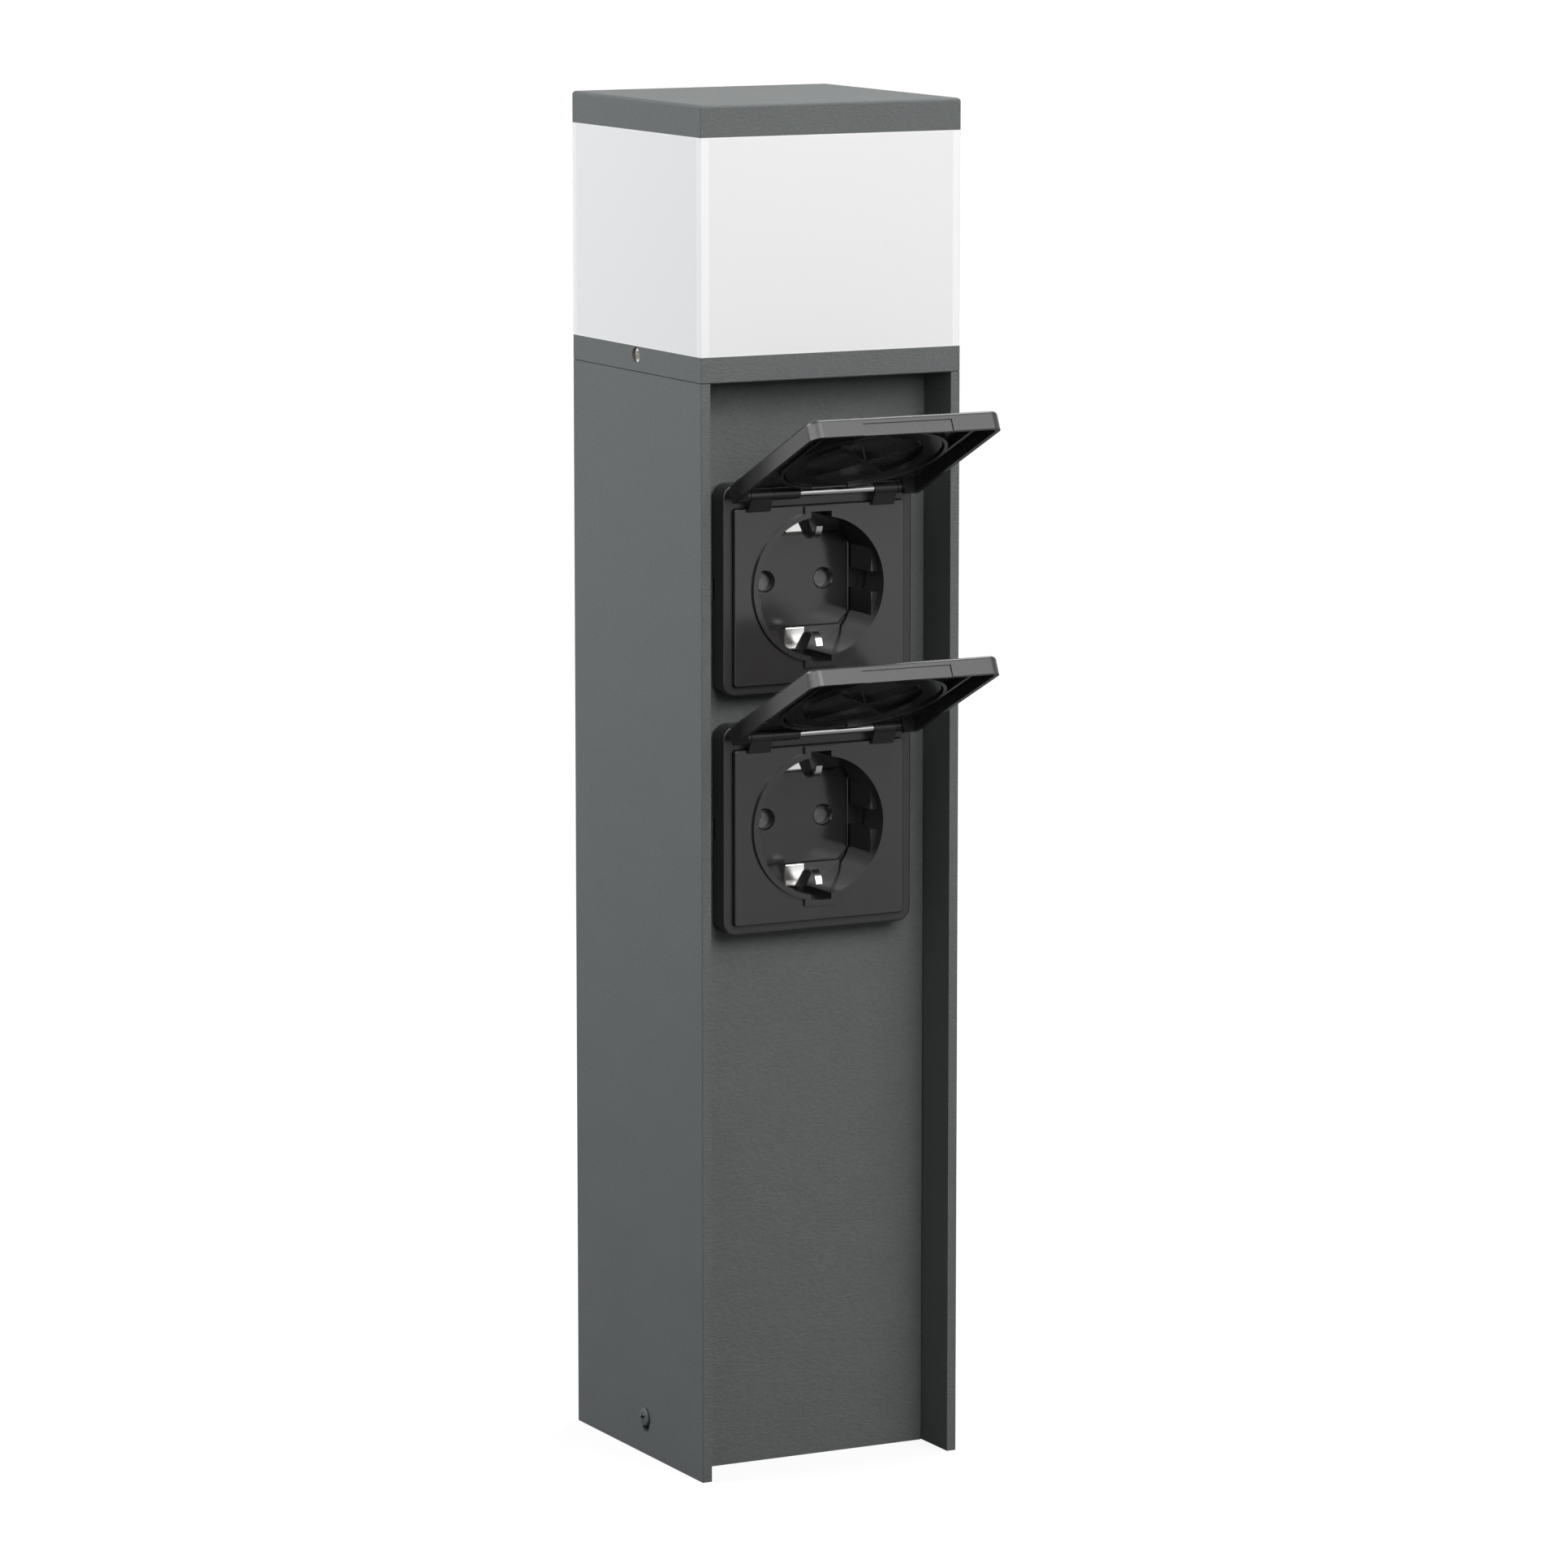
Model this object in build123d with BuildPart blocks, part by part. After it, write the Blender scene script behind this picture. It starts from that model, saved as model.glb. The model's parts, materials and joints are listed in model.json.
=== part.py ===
from build123d import *
from math import cos, radians, sin, sqrt
import os

# Bollard light with two hinged-lid sockets. Millimetres; X to the right across the front,
# Y from the front to the back, Z up, origin on the ground in the middle of the post.

# Overall
total_height = 400.0
outer_width = 84.0
wall = 3.0
corner_radius = 0.4
fit_gap = 0.1  # between fixed pieces that slide into each other
soft_gap = 0.3  # between a moving piece and what it closes on

# Light head, from the top down
cap_height = 9.2
cap_top = 2.5
cap_edge_radius = 1.0
cap_lip_depth = 4.0
cap_lip_wall = 2.4
shade_height = 62.3
shade_wall = 3.0
collar_height = 7.5
collar_floor = 2.0
collar_seam = 0.3
collar_cable_radius = 9.0
seal_height = 1.5
seal_width = 3.0
carrier_height = 11.0
carrier_wall = 1.5
carrier_flange = 3.5
grub_radius = 2.3
grub_rise = 4.8  # above the collar's underside
grub_inset = 0.6
grub_socket_width = 2.5
grub_socket_depth = 1.2
led_board_size = 60.0
led_board_thickness = 1.6
led_size = 3.0
led_height = 0.7
led_pitch = 13.0

# Post profile
recess_depth = 15.8
rib_width = 4.0
rib_thickness = 2.0
port_size = 7.0
port_radius = 1.6
port_gap = 0.7  # behind the mounting plates
port_screw_length = 12.0
port_screw_head_radius = 3.2

# Foot
foot_screw_y = -4.5
foot_screw_z = 11.4
foot_screw_radius = 1.9
foot_screw_length = 8.0
foot_head_radius = 2.65
foot_head_height = 1.3
foot_head_taper = 12.0  # degrees
foot_slot_width = 4.2
foot_slot_below = 4.7
foot_slot_above = 2.3
bracket_thickness = 3.0
bracket_gap = 2.7  # behind the front panel
ear_thickness = 2.5
ear_gap = 1.0  # behind the screw ports
ear_height = 24.0
anchor_edge = 5.6  # from the plate's edge
anchor_spacing_y = 30.0
anchor_radius = 2.75
grommet_radius = 11.0
grommet_bore = 8.0
grommet_lip = 2.0
grommet_lip_height = 1.5

# Things on the inside of the back wall
driver_width = 52.0
driver_depth = 16.0
driver_height = 32.0
driver_below_top = 6.0
driver_radius = 2.0
terminal_width = 42.0
terminal_depth = 14.0
terminal_height = 18.0
terminal_z = 60.0
terminal_ways = 5
terminal_screw_radius = 1.8
terminal_screw_depth = 5.0

# Sockets: centre heights, then distances out of the panel's face ("out") and sizes
socket_drop = 61.0  # the upper centre under the post's top
socket_pitch = 70.0
panel_thickness = 1.5
panel_edge = 0.3
gasket_thickness = 0.8
gasket_inset = 0.4
frame_size = 61.5
frame_depth = 6.4
frame_radius = 4.0
frame_edge = 0.6
frame_top_border = 6.95
frame_notch_height = 6.0
frame_notch_depth = 1.2
frame_notch_reach = 3.0
plate_width = 55.3
plate_height = 51.7
plate_thickness = 3.0
plate_proud = 1.5
plate_radius = 0.9
plate_edge = 0.4
rim_radius = 22.0
rim_proud = 0.9
tab_width = 10.5
cavity_radius = 20.4
cavity_depth = 17.3
pot_wall = 3.4
pot_floor = 2.6
island_width = 35.2  # with the groove round it
island_height = 27.2
island_chamfer = 3.0
groove_width = 0.45
groove_depth = 1.0
groove_bevel = 0.25
pin_spacing = 19.0
pin_hole_radius = 2.8
pin_hole_bevel = 0.45
notch_width = 6.7
notch_depth = 1.5
guide_place = 17.9  # from the middle to the flat guides at the sides
guide_thickness = 3.0
guide_end = 10.5
guide_slot = 6.0  # between the upper and lower guide
guide_front = 3.2  # behind the rim's face

# Rear of each socket
clip_thickness = 0.5
clip_width = 6.0
clip_arm_width = 4.0
clip_tip_width = 2.0
clip_foot_reach = 19.9
clip_run = 3.7  # the arm's straight stretch along the wall
clip_run_radius = 1.0
clip_apex_reach = 9.3  # where the bent end's two straight lines would meet
clip_apex_behind_face = 3.9
clip_bend_radius = 4.3
clip_tip_reach = 17.5
clip_tip_behind_face = 1.4
block_width = 44.0
block_height = 40.0
block_depth = 18.0
block_radius = 2.0
sleeve_radius = 3.2
sleeve_bore = 2.45
sleeve_length = 15.0
sleeve_slit = 0.8
slide_gap = 0.2  # round the shutter
shutter_pad = 7.0
shutter_thickness = 1.7
shutter_bridge_height = 3.0
shutter_travel = 6.6
mounting_plate_thickness = 1.5
mounting_plate_height = 60.0
screw_spacing = 51.0
screw_radius = 1.25
screw_length = 10.0
screw_head_radius = 2.8
screw_head_height = 1.8
screw_clearance = 0.45

# Hinge and lid; the lid is drawn open, as it stands
hinge_height = 27.8  # above the socket's centre
hinge_out = 2.9  # in front of the frame's face
pin_radius = 1.2
pin_play = 0.05
barrel_radius = 1.8
barrel_length = 1.3  # between a lug and the lid's solid end
lug_inner = 16.6
lug_width = 7.1
lug_tab = 1.1  # how far the lug laps down over the plate
lug_tab_thickness = 0.8
bush_length = 8.6
pin_seat = 3.4  # the pin's end inside the lid
lid_open_angle = 115.0
lid_width = 61.0
lid_length = 57.2  # from the pin's axis to the free edge
lid_top_height = 2.8  # of the outer face above the pin's axis
lid_wall = 1.5
lid_skin = 1.5
lid_corner_radius = 3.4
lid_edge_radius = 1.0
lid_foot = 0.9  # from the pin's axis to the back end of the rim
lid_back = -1.0  # the same to where back and top would meet
lid_back_radius = 2.8
lid_edge_start = 1.9  # the same to the cover's edge over the pin
finger_width = 28.5
finger_height = 3.5
finger_depth = 0.4
guard_radius = 24.4
guard_wall = 1.0
guard_gap = 0.5  # over the plate, with the lid closed
pad_rim = 5.6
pad_rib = 1.2
pad_hub_radius = 1.3
pad_rib_proud = 0.7  # of the ring

# Levels and planes that follow from the sizes above
half = outer_width / 2
inner_half = half - wall
post_height = total_height - cap_height - shade_height - collar_height
collar_top = post_height + collar_height
shade_top = collar_top + shade_height
collar_floor_z = post_height + collar_floor
panel_y = -half + recess_depth
rib_front_y = panel_y + panel_thickness
rib_back_y = rib_front_y + rib_thickness
port_x = inner_half - port_size / 2
port_front_y = rib_back_y + mounting_plate_thickness + port_gap + port_size / 2
port_places = [
    (sign * port_x, y) for sign in (-1, 1) for y in (port_front_y, inner_half - port_size / 2)
]
upper_z = post_height - socket_drop
socket_heights = {"upper": upper_z, "lower": upper_z - socket_pitch}
frame_back = gasket_thickness
frame_face = frame_back + frame_depth
plate_face = frame_face + plate_proud
rim_face = plate_face + rim_proud
floor_face = rim_face - cavity_depth
pot_back = floor_face - pot_floor
guide_face = rim_face - guide_front
pot_radius = cavity_radius + pot_wall
plate_top = frame_size / 2 - frame_top_border
plate_middle = plate_top - plate_height / 2
plate_back = plate_face - plate_thickness
frame_hole_radius = pot_radius + fit_gap
hinge_face = frame_face + hinge_out
rim_level = soft_gap - hinge_out  # the lid's rim, measured from the pin's axis
knuckle_start = lug_inner + lug_width + soft_gap
lug_low = plate_top - lug_tab
plate_level = plate_face - hinge_face
hollow_start = lid_foot + lid_wall
hinge_block = knuckle_start + barrel_length
skin_level = lid_top_height - lid_skin
clip_back = pot_back - fit_gap / 2 - clip_thickness / 2
block_face = pot_back - fit_gap - clip_thickness
shutter_face = pot_back - slide_gap
bridge_face = block_face - slide_gap
shutter_back = shutter_face - shutter_thickness
sleeve_face = shutter_back - slide_gap
clamp_face = -(panel_thickness + rib_thickness)
clamp_back = clamp_face - mounting_plate_thickness
screw_places = [(sx * screw_spacing / 2, sz * screw_spacing / 2) for sx in (-1, 1) for sz in (-1, 1)]

os.makedirs("parts", exist_ok=True)


def save(part, label):
    part.label = label
    export_step(part, f"parts/{label}.step")


# Post: an extruded profile, open at the front, with ribs and screw ports
with BuildPart() as post_shell:
    with BuildSketch(Plane.XY):
        RectangleRounded(outer_width, outer_width, corner_radius)
        with Locations((0, -wall)):
            Rectangle(2 * inner_half, outer_width, mode=Mode.SUBTRACT)
        with Locations((0, (rib_front_y + rib_back_y) / 2)):
            with GridLocations(2 * inner_half - rib_width, 0, 2, 1):
                Rectangle(rib_width, rib_thickness)
        with Locations(*port_places):
            Rectangle(port_size, port_size)
            Circle(port_radius, mode=Mode.SUBTRACT)
    extrude(amount=post_height)
    slot_length = foot_slot_below + foot_slot_above
    with BuildSketch(Plane.YZ):
        with Locations((foot_screw_y, foot_screw_z + (foot_slot_above - foot_slot_below) / 2)):
            SlotOverall(slot_length, foot_slot_width, rotation=90)
    extrude(amount=half, both=True, mode=Mode.SUBTRACT)
save(post_shell.part, "post_shell")

# Panel between the fins, against the ribs
with BuildPart() as front_panel:
    with BuildSketch(Plane.XY):
        with Locations((0, panel_y + panel_thickness / 2)):
            Rectangle(2 * (inner_half - fit_gap), panel_thickness)
    extrude(amount=post_height - fit_gap)
    panel_front = front_panel.faces().sort_by(Axis.Y)[0]
    chamfer(panel_front.edges().filter_by(Axis.Z), panel_edge)
    for centre_z in socket_heights.values():
        with BuildSketch(Plane((0, panel_y, centre_z), x_dir=(1, 0, 0), z_dir=(0, -1, 0))):
            Circle(frame_hole_radius)
            with Locations(*screw_places):
                Circle(screw_radius + screw_clearance)
        extrude(amount=-panel_thickness, mode=Mode.SUBTRACT)
save(front_panel.part, "front_panel")

# Collar: a square tray on the post, which also closes the recess from above
with BuildPart() as collar:
    with BuildSketch(Plane.XY.offset(post_height)):
        RectangleRounded(outer_width, outer_width, corner_radius)
    extrude(amount=collar_height)
    chamfer(collar.faces().sort_by(Axis.Z)[0].outer_wire().edges(), collar_seam)
    with BuildSketch(Plane.XY.offset(collar_floor_z)):
        Rectangle(2 * inner_half, 2 * inner_half)
    extrude(amount=collar_height, mode=Mode.SUBTRACT)
    with BuildSketch(Plane.XY.offset(post_height)):
        Circle(collar_cable_radius)
    extrude(amount=collar_floor, mode=Mode.SUBTRACT)
    with Locations(*[Location((x, y, collar_floor_z)) for x, y in port_places]):
        CounterSinkHole(port_radius + fit_gap, port_screw_head_radius + fit_gap, collar_floor, 90)
    with BuildSketch(Plane.YZ):
        with Locations((0, post_height + grub_rise)):
            Circle(grub_radius + fit_gap)
    extrude(amount=half, both=True, mode=Mode.SUBTRACT)
save(collar.part, "collar")

# Countersunk screws from the collar into the post's ports
screw_cone = port_screw_head_radius - (port_radius - fit_gap)
with BuildPart() as collar_screws:
    with BuildSketch(Plane.XZ):
        with BuildLine():
            Polyline(
                (0, collar_floor_z),
                (port_screw_head_radius, collar_floor_z),
                (port_radius - fit_gap, collar_floor_z - screw_cone),
                (port_radius - fit_gap, collar_floor_z - port_screw_length),
                (0, collar_floor_z - port_screw_length),
                close=True,
            )
        make_face()
    revolve(axis=Axis.Z)
one_screw = collar_screws.part
with BuildPart() as collar_screws:
    with Locations(*port_places):
        add(one_screw)
save(collar_screws.part, "collar_screws")

# Rubber ring on the collar's floor, under the shade carrier
carrier_half = inner_half - 4 * fit_gap
with BuildPart() as shade_seal:
    with BuildSketch(Plane.XY.offset(collar_floor_z)):
        Rectangle(2 * carrier_half, 2 * carrier_half)
        Rectangle(2 * (carrier_half - seal_width), 2 * (carrier_half - seal_width), mode=Mode.SUBTRACT)
    extrude(amount=seal_height)
save(shade_seal.part, "shade_seal")

# Metal frame in the foot of the shade, which the set screws grip
carrier_z = collar_floor_z + seal_height
with BuildPart() as shade_carrier:
    with BuildSketch(Plane.XY.offset(carrier_z)):
        Rectangle(2 * carrier_half, 2 * carrier_half)
    extrude(amount=carrier_height)
    with BuildSketch(Plane.XY.offset(carrier_z)):
        Rectangle(2 * (carrier_half - carrier_flange), 2 * (carrier_half - carrier_flange))
    extrude(amount=carrier_wall, mode=Mode.SUBTRACT)
    with BuildSketch(Plane.XY.offset(carrier_z + carrier_wall)):
        Rectangle(2 * (carrier_half - carrier_wall), 2 * (carrier_half - carrier_wall))
    extrude(amount=carrier_height, mode=Mode.SUBTRACT)
save(shade_carrier.part, "shade_carrier")

# Socket set screws in the collar's sides
grub_length = half - grub_inset - carrier_half
with BuildPart() as grub_screws:
    for side in (-1, 1):
        grub_place = (side * carrier_half, 0, post_height + grub_rise)
        grub_plane = Plane(grub_place, x_dir=(0, 1, 0), z_dir=(side, 0, 0))
        with BuildSketch(grub_plane):
            Circle(grub_radius)
        extrude(amount=grub_length)
        with BuildSketch(grub_plane.offset(grub_length)):
            RegularPolygon(grub_socket_width / sqrt(3), 6)
        extrude(amount=-grub_socket_depth, mode=Mode.SUBTRACT)
save(grub_screws.part, "grub_screws")

# Opal shade: four walls, flush with collar and cap
with BuildPart() as shade:
    with BuildSketch(Plane.XY.offset(collar_top)):
        RectangleRounded(outer_width, outer_width, corner_radius)
        Rectangle(outer_width - 2 * shade_wall, outer_width - 2 * shade_wall, mode=Mode.SUBTRACT)
    extrude(amount=shade_height)
save(shade.part, "shade")

# Cap: a shell with a lip that sits inside the shade
lip_half = half - shade_wall - 2 * fit_gap
with BuildPart() as cap:
    with BuildSketch(Plane.XY.offset(shade_top)):
        RectangleRounded(outer_width, outer_width, corner_radius)
    extrude(amount=cap_height)
    fillet(cap.faces().sort_by(Axis.Z)[-1].edges(), cap_edge_radius)
    with BuildSketch(Plane.XY.offset(shade_top)):
        Rectangle(2 * lip_half, 2 * lip_half)
    extrude(amount=-cap_lip_depth)
    with BuildSketch(Plane.XY.offset(shade_top - cap_lip_depth)):
        Rectangle(2 * (lip_half - cap_lip_wall), 2 * (lip_half - cap_lip_wall))
    extrude(amount=cap_lip_depth + cap_height - cap_top, mode=Mode.SUBTRACT)
save(cap.part, "cap")

# Light source on the collar's floor
with BuildPart() as led_board:
    with BuildSketch(Plane.XY.offset(collar_floor_z)):
        Rectangle(led_board_size, led_board_size)
        Circle(collar_cable_radius / 2, mode=Mode.SUBTRACT)
    extrude(amount=led_board_thickness)
save(led_board.part, "led_board")

with BuildPart() as led_packages:
    with BuildSketch(Plane.XY.offset(collar_floor_z + led_board_thickness)):
        with GridLocations(led_pitch, led_pitch, 4, 4):
            Rectangle(led_size, led_size)
    extrude(amount=led_height)
save(led_packages.part, "led_packages")

# Power supply and terminal block on the inside of the back wall
with BuildPart() as led_driver:
    with BuildSketch(Plane.XY.offset(post_height - driver_below_top)):
        with Locations((0, inner_half - driver_depth / 2)):
            RectangleRounded(driver_width, driver_depth, driver_radius)
    extrude(amount=-driver_height)
save(led_driver.part, "led_driver")

terminal_place = (0, inner_half - terminal_depth, terminal_z + terminal_height / 2)
terminal_front = Plane(terminal_place, x_dir=(1, 0, 0), z_dir=(0, -1, 0))
terminal_pitch = terminal_width / terminal_ways
with BuildPart() as terminal_block:
    with BuildSketch(terminal_front):
        Rectangle(terminal_width, terminal_height)
    extrude(amount=-terminal_depth)
    with BuildSketch(terminal_front):
        with GridLocations(terminal_pitch, 0, terminal_ways, 1):
            Circle(terminal_screw_radius + fit_gap)
    extrude(amount=-terminal_screw_depth, mode=Mode.SUBTRACT)
save(terminal_block.part, "terminal_block")

with BuildPart() as terminal_screws:
    with BuildSketch(terminal_front.offset(-terminal_screw_depth)):
        with GridLocations(terminal_pitch, 0, terminal_ways, 1):
            Circle(terminal_screw_radius)
    extrude(amount=terminal_screw_depth / 2)
save(terminal_screws.part, "terminal_screws")

# Ground bracket: a plate with two upright ears inside the post's side walls
ear_half = inner_half - 2 * fit_gap
ear_depth = -2 * (port_front_y + port_size / 2 + ear_gap)
plate_half = inner_half - port_size - 4 * fit_gap
bracket_depth = -2 * (rib_front_y + bracket_gap)
with BuildPart() as ground_bracket:
    with BuildSketch(Plane.XY):
        Rectangle(2 * plate_half, bracket_depth)
        Rectangle(2 * ear_half, ear_depth)
    extrude(amount=bracket_thickness)
    with BuildSketch(Plane.XY):
        with Locations(*[(s * (ear_half - ear_thickness / 2), 0) for s in (-1, 1)]):
            Rectangle(ear_thickness, ear_depth)
    extrude(amount=ear_height)
    with BuildSketch(Plane.XY):
        with GridLocations(2 * (plate_half - anchor_edge), anchor_spacing_y, 2, 2):
            Circle(anchor_radius)
        Circle(grommet_radius + fit_gap)
    extrude(amount=bracket_thickness, mode=Mode.SUBTRACT)
    with BuildSketch(Plane.YZ):
        with Locations((foot_screw_y, foot_screw_z)):
            Circle(foot_screw_radius + fit_gap)
    extrude(amount=half, both=True, mode=Mode.SUBTRACT)
save(ground_bracket.part, "ground_bracket")

with BuildPart() as cable_grommet:
    with BuildSketch(Plane.XY):
        Circle(grommet_radius)
    extrude(amount=bracket_thickness)
    with BuildSketch(Plane.XY.offset(bracket_thickness)):
        Circle(grommet_radius + grommet_lip)
    extrude(amount=grommet_lip_height)
    with BuildSketch(Plane.XY):
        Circle(grommet_bore)
    extrude(amount=bracket_thickness + grommet_lip_height, mode=Mode.SUBTRACT)
save(cable_grommet.part, "cable_grommet")

with BuildPart() as foot_screws:
    for side in (-1, 1):
        foot_plane = Plane((side * half, foot_screw_y, foot_screw_z), x_dir=(0, 1, 0), z_dir=(side, 0, 0))
        with BuildSketch(foot_plane):
            Circle(foot_head_radius)
        extrude(amount=foot_head_height, taper=foot_head_taper)
        with BuildSketch(foot_plane):
            Circle(foot_screw_radius)
        extrude(amount=-foot_screw_length)
save(foot_screws.part, "foot_screws")

# The same socket twice, with its hinge and lid
for name, centre_z in socket_heights.items():
    face = Plane((0, panel_y, centre_z), x_dir=(1, 0, 0), z_dir=(0, -1, 0))
    section = Plane((0, panel_y, centre_z), x_dir=(0, -1, 0), z_dir=(-1, 0, 0))
    hinge = Plane((0, panel_y - hinge_face, centre_z + hinge_height), x_dir=(0, -1, 0), z_dir=(-1, 0, 0))

    # Rubber between bezel and panel
    with BuildPart() as frame_gasket:
        with BuildSketch(face):
            RectangleRounded(frame_size - 2 * gasket_inset, frame_size - 2 * gasket_inset, frame_radius)
            Circle(frame_hole_radius, mode=Mode.SUBTRACT)
            with Locations(*screw_places):
                Circle(screw_radius + screw_clearance, mode=Mode.SUBTRACT)
        extrude(amount=gasket_thickness)
    save(frame_gasket.part, f"{name}_frame_gasket")

    # Bezel with its pocket for the plate and two hinge lugs
    with BuildPart() as frame:
        with BuildSketch(face.offset(frame_back)):
            RectangleRounded(frame_size, frame_size, frame_radius)
        extrude(amount=frame_depth)
        fillet(frame.faces().sort_by(Axis.Y)[0].edges(), frame_edge)
        with BuildSketch(face.offset(plate_back - fit_gap)):
            with Locations((0, plate_middle)):
                RectangleRounded(plate_width + 2 * fit_gap, plate_height + 2 * fit_gap, plate_radius)
        extrude(amount=frame_depth, mode=Mode.SUBTRACT)
        with BuildSketch(face):
            Circle(frame_hole_radius)
        extrude(amount=frame_depth, mode=Mode.SUBTRACT)
        with BuildSketch(face.offset(frame_back)):
            with Locations(*screw_places):
                Circle(screw_radius + fit_gap / 2)
        extrude(amount=screw_length + clamp_back - frame_back + fit_gap, mode=Mode.SUBTRACT)
        for side in (-1, 1):
            with BuildSketch(section.offset(-side * lug_inner)):
                with BuildLine():
                    Polyline(
                        (hinge_face, hinge_height + barrel_radius),
                        (frame_face, hinge_height + barrel_radius),
                        (frame_face, plate_top + 2 * fit_gap),
                        (plate_face + fit_gap, plate_top + 2 * fit_gap),
                        (plate_face + fit_gap, lug_low),
                        (plate_face + fit_gap + lug_tab_thickness, lug_low),
                        (hinge_face + barrel_radius, hinge_height),
                        close=True,
                    )
                make_face()
                with Locations((hinge_face, hinge_height)):
                    Circle(barrel_radius)
                    Circle(pin_radius + pin_play, mode=Mode.SUBTRACT)
            extrude(amount=-side * lug_width)
        with BuildSketch(face.offset(frame_back)):
            with GridLocations(frame_size, 0, 2, 1):
                Rectangle(2 * frame_notch_reach, frame_notch_height)
        extrude(amount=frame_notch_depth, mode=Mode.SUBTRACT)
    save(frame.part, f"{name}_frame")

    # Face plate with the round recess behind it, one moulding
    with BuildPart() as insert:
        with BuildSketch(face.offset(plate_back)):
            with Locations((0, plate_middle)):
                RectangleRounded(plate_width, plate_height, plate_radius)
        extrude(amount=plate_thickness)
        fillet(insert.faces().sort_by(Axis.Y)[0].edges(), plate_edge)
        with BuildSketch(face.offset(plate_face)):
            Circle(rim_radius)
            Rectangle(tab_width, 2 * (plate_top - plate_edge))
        extrude(amount=rim_proud)
        with BuildSketch(face.offset(pot_back)):
            Circle(pot_radius)
        extrude(amount=plate_back - pot_back)
        with BuildSketch(face.offset(floor_face)):
            Circle(cavity_radius)
            with GridLocations(0, 2 * cavity_radius, 1, 2):
                Rectangle(notch_width, 2 * notch_depth)
        extrude(amount=rim_face - floor_face, mode=Mode.SUBTRACT)
        guide_centre_x = guide_place + guide_thickness / 2
        guide_centre_z = (guide_slot / 2 + guide_end) / 2
        with BuildSketch(face.offset(floor_face)):
            with GridLocations(2 * guide_centre_x, 2 * guide_centre_z, 2, 2):
                Rectangle(guide_thickness, guide_end - guide_slot / 2)
        extrude(amount=guide_face - floor_face)
        with BuildSketch(face.offset(floor_face)):
            mouth = Rectangle(island_width + 2 * groove_bevel, island_height + 2 * groove_bevel)
            chamfer(mouth.vertices(), island_chamfer)
        extrude(amount=-groove_bevel, taper=45, mode=Mode.SUBTRACT)
        with BuildSketch(face.offset(floor_face)):
            groove = Rectangle(island_width, island_height)
            chamfer(groove.vertices(), island_chamfer)
        extrude(amount=-groove_depth, mode=Mode.SUBTRACT)
        with BuildSketch(face.offset(floor_face - groove_depth)):
            island = Rectangle(island_width - 2 * groove_width, island_height - 2 * groove_width)
            chamfer(island.vertices(), island_chamfer)
        extrude(amount=groove_depth)
        with BuildSketch(face.offset(floor_face)):
            with GridLocations(pin_spacing, 0, 2, 1):
                Circle(pin_hole_radius)
        extrude(amount=pot_back - floor_face, mode=Mode.SUBTRACT)
        with BuildSketch(face.offset(floor_face)):
            with GridLocations(pin_spacing, 0, 2, 1):
                Circle(pin_hole_radius + pin_hole_bevel)
        extrude(amount=-pin_hole_bevel, taper=45, mode=Mode.SUBTRACT)
        clip_slot_place = island_height / 2 + fit_gap + clip_thickness / 2
        with BuildSketch(face.offset(pot_back)):
            with GridLocations(0, 2 * clip_slot_place, 1, 2):
                Rectangle(notch_width, clip_thickness + 2 * fit_gap)
        extrude(amount=pot_floor, mode=Mode.SUBTRACT)
    save(insert.part, f"{name}_insert")

    # Earth clip: one strip, through the floor and forward into both arms
    foot_out = floor_face + fit_gap / 2 + clip_thickness / 2
    tip_out = rim_face - clip_tip_behind_face
    fold = clip_thickness / 2 + fit_gap
    with BuildPart() as earth_clip:
        with BuildSketch(section):
            with BuildLine():
                FilletPolyline(
                    (clip_back, 0),
                    (clip_back, clip_slot_place),
                    (foot_out, clip_slot_place),
                    (foot_out, clip_foot_reach),
                    (foot_out + clip_run, clip_foot_reach),
                    (rim_face - clip_apex_behind_face, clip_apex_reach),
                    (tip_out, clip_tip_reach),
                    radius=[fold, fold, fold, clip_run_radius, clip_bend_radius],
                )
            trace(line_width=clip_thickness)
        extrude(amount=clip_width / 2, both=True)
        with BuildSketch(Plane.XY.offset(centre_z)):
            for side in (-1, 1):
                with BuildLine():
                    Polyline(
                        (side * clip_width, panel_y - foot_out - clip_thickness),
                        (side * clip_arm_width / 2, panel_y - foot_out - clip_thickness),
                        (side * clip_tip_width / 2, panel_y - tip_out),
                        (side * clip_tip_width / 2, panel_y - rim_face),
                        (side * clip_width, panel_y - rim_face),
                        close=True,
                    )
                make_face()
        extrude(amount=clip_foot_reach + clip_thickness, both=True, mode=Mode.SUBTRACT)
        mirror(about=Plane.XY.offset(centre_z))
    save(earth_clip.part, f"{name}_earth_clip")

    # Rear housing with the two slit contact sleeves in its bores
    with BuildPart() as contact_block:
        with BuildSketch(face.offset(block_face)):
            RectangleRounded(block_width, block_height, block_radius)
        extrude(amount=-block_depth)
        slide_low = -shutter_pad / 2 - slide_gap
        slide_high = shutter_pad / 2 + shutter_travel + slide_gap
        with BuildSketch(face.offset(block_face)):
            with Locations((0, (slide_low + slide_high) / 2)):
                Rectangle(pin_spacing + shutter_pad + 2 * slide_gap, slide_high - slide_low)
        extrude(amount=sleeve_face - block_face, mode=Mode.SUBTRACT)
        with BuildSketch(face.offset(sleeve_face)):
            with GridLocations(pin_spacing, 0, 2, 1):
                Circle(sleeve_radius + fit_gap)
        extrude(amount=-sleeve_length - fit_gap, mode=Mode.SUBTRACT)
    save(contact_block.part, f"{name}_contact_block")

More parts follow.
